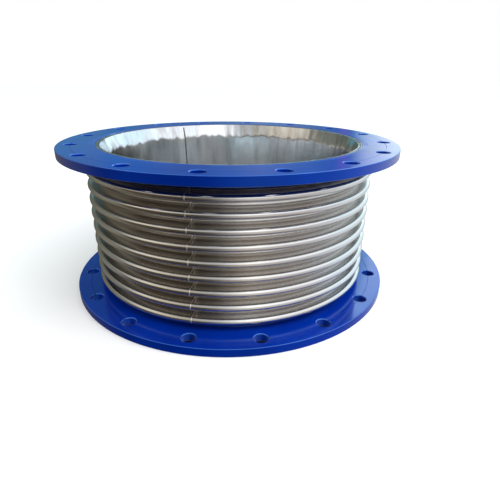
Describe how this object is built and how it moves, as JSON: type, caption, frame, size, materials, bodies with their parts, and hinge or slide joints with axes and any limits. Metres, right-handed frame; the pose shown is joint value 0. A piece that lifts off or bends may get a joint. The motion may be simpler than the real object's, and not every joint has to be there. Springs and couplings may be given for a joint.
{
  "type": "metal bellows expansion joint",
  "caption": "Flanged metal bellows expansion joint: a ring-waved thin stainless tube between two blue bolting flanges, with a polished steel flow liner inside.",
  "frame": {"origin": "centre of the lower flange's outer face, on the flow axis", "axes": "+Z along the flow axis, from the lower flange to the upper flange; +X and +Y across it, with the front of the object towards -Y"},
  "size_m": [0.595, 0.595, 0.262],
  "materials": {
    "enamel_blue": "glossy deep blue enamel over carbon steel",
    "bellows_steel": "bright cold-formed stainless sheet",
    "liner_steel": "polished stainless sheet",
    "weld_metal": "weld bead, slightly heat tinted"
  },
  "bodies": {
    "bottom_end": {"bottom_flange": "enamel_blue", "lower_face_weld": "weld_metal", "lower_back_weld": "weld_metal", "bellows_lower_cuff": "bellows_steel", "bellows_lower_root": "bellows_steel"},
    "crest_1": {"bellows_crest_1": "bellows_steel"},
    "root_1": {"bellows_root_1": "bellows_steel"},
    "crest_2": {"bellows_crest_2": "bellows_steel"},
    "root_2": {"bellows_root_2": "bellows_steel"},
    "crest_3": {"bellows_crest_3": "bellows_steel"},
    "root_3": {"bellows_root_3": "bellows_steel"},
    "crest_4": {"bellows_crest_4": "bellows_steel"},
    "root_4": {"bellows_root_4": "bellows_steel"},
    "crest_5": {"bellows_crest_5": "bellows_steel", "bellows_root_5": "bellows_steel"},
    "crest_6": {"bellows_crest_6": "bellows_steel"},
    "root_6": {"bellows_root_6": "bellows_steel"},
    "crest_7": {"bellows_crest_7": "bellows_steel"},
    "root_7": {"bellows_root_7": "bellows_steel"},
    "crest_8": {"bellows_crest_8": "bellows_steel"},
    "root_8": {"bellows_root_8": "bellows_steel"},
    "crest_9": {"bellows_crest_9": "bellows_steel"},
    "top_end": {"top_flange": "enamel_blue", "upper_face_weld": "weld_metal", "upper_back_weld": "weld_metal", "bellows_upper_root": "bellows_steel", "bellows_upper_cuff": "bellows_steel", "inner_sleeve": "liner_steel", "sleeve_seam_weld": "weld_metal"}
  },
  "joints": [
    {"name": "axial_1", "type": "slide", "parent": "bottom_end", "child": "crest_1", "axis": [0, 0, 1], "range_m": [-0.0033, 0.0022], "stiffness_N_per_m": 1080000, "springref_m": 0.00014},
    {"name": "tilt_x_1", "type": "hinge", "parent": "crest_1", "child": "root_1", "pos_m": [0, 0, 0.0345], "axis": [1, 0, 0], "range_deg": [-0.75, 0.75], "stiffness_Nm_per_rad": 14240},
    {"name": "axial_2", "type": "slide", "parent": "root_1", "child": "crest_2", "axis": [0, 0, 1], "range_m": [-0.0033, 0.0022], "stiffness_N_per_m": 1080000, "springref_m": 0.00014},
    {"name": "tilt_y_2", "type": "hinge", "parent": "crest_2", "child": "root_2", "pos_m": [0, 0, 0.0585], "axis": [0, 1, 0], "range_deg": [-0.75, 0.75], "stiffness_Nm_per_rad": 14240},
    {"name": "axial_3", "type": "slide", "parent": "root_2", "child": "crest_3", "axis": [0, 0, 1], "range_m": [-0.0033, 0.0022], "stiffness_N_per_m": 1080000, "springref_m": 0.00014},
    {"name": "tilt_x_3", "type": "hinge", "parent": "crest_3", "child": "root_3", "pos_m": [0, 0, 0.0825], "axis": [1, 0, 0], "range_deg": [-0.75, 0.75], "stiffness_Nm_per_rad": 14240},
    {"name": "axial_4", "type": "slide", "parent": "root_3", "child": "crest_4", "axis": [0, 0, 1], "range_m": [-0.0033, 0.0022], "stiffness_N_per_m": 1080000, "springref_m": 0.00014},
    {"name": "tilt_y_4", "type": "hinge", "parent": "crest_4", "child": "root_4", "pos_m": [0, 0, 0.1065], "axis": [0, 1, 0], "range_deg": [-0.75, 0.75], "stiffness_Nm_per_rad": 14240},
    {"name": "axial_5", "type": "slide", "parent": "root_4", "child": "crest_5", "axis": [0, 0, 1], "range_m": [-0.0033, 0.0022], "stiffness_N_per_m": 1080000, "springref_m": 0.00014},
    {"name": "axial_6", "type": "slide", "parent": "crest_5", "child": "crest_6", "axis": [0, 0, 1], "range_m": [-0.0033, 0.0022], "stiffness_N_per_m": 1080000, "springref_m": 0.00014},
    {"name": "tilt_y_6", "type": "hinge", "parent": "crest_6", "child": "root_6", "pos_m": [0, 0, 0.1545], "axis": [0, 1, 0], "range_deg": [-0.75, 0.75], "stiffness_Nm_per_rad": 14240},
    {"name": "axial_7", "type": "slide", "parent": "root_6", "child": "crest_7", "axis": [0, 0, 1], "range_m": [-0.0033, 0.0022], "stiffness_N_per_m": 1080000, "springref_m": 0.00014},
    {"name": "tilt_x_7", "type": "hinge", "parent": "crest_7", "child": "root_7", "pos_m": [0, 0, 0.1785], "axis": [1, 0, 0], "range_deg": [-0.75, 0.75], "stiffness_Nm_per_rad": 14240},
    {"name": "axial_8", "type": "slide", "parent": "root_7", "child": "crest_8", "axis": [0, 0, 1], "range_m": [-0.0033, 0.0022], "stiffness_N_per_m": 1080000, "springref_m": 0.00014},
    {"name": "tilt_y_8", "type": "hinge", "parent": "crest_8", "child": "root_8", "pos_m": [0, 0, 0.2025], "axis": [0, 1, 0], "range_deg": [-0.75, 0.75], "stiffness_Nm_per_rad": 14240},
    {"name": "axial_9", "type": "slide", "parent": "root_8", "child": "crest_9", "axis": [0, 0, 1], "range_m": [-0.0033, 0.0022], "stiffness_N_per_m": 1080000, "springref_m": 0.00014},
    {"name": "tilt_x_9", "type": "hinge", "parent": "crest_9", "child": "top_end", "pos_m": [0, 0, 0.2265], "axis": [1, 0, 0], "range_deg": [-0.75, 0.75], "stiffness_Nm_per_rad": 14240}
  ],
  "couplings": [
    {"joint": "axial_2", "follows": "axial_1", "ratio": 1},
    {"joint": "axial_3", "follows": "axial_1", "ratio": 1},
    {"joint": "axial_4", "follows": "axial_1", "ratio": 1},
    {"joint": "axial_5", "follows": "axial_1", "ratio": 1},
    {"joint": "axial_6", "follows": "axial_1", "ratio": 1},
    {"joint": "axial_7", "follows": "axial_1", "ratio": 1},
    {"joint": "axial_8", "follows": "axial_1", "ratio": 1},
    {"joint": "axial_9", "follows": "axial_1", "ratio": 1},
    {"joint": "tilt_x_3", "follows": "tilt_x_1", "ratio": 1},
    {"joint": "tilt_y_4", "follows": "tilt_y_2", "ratio": 1},
    {"joint": "tilt_x_9", "follows": "tilt_x_7", "ratio": 1},
    {"joint": "tilt_y_8", "follows": "tilt_y_6", "ratio": 1}
  ]
}
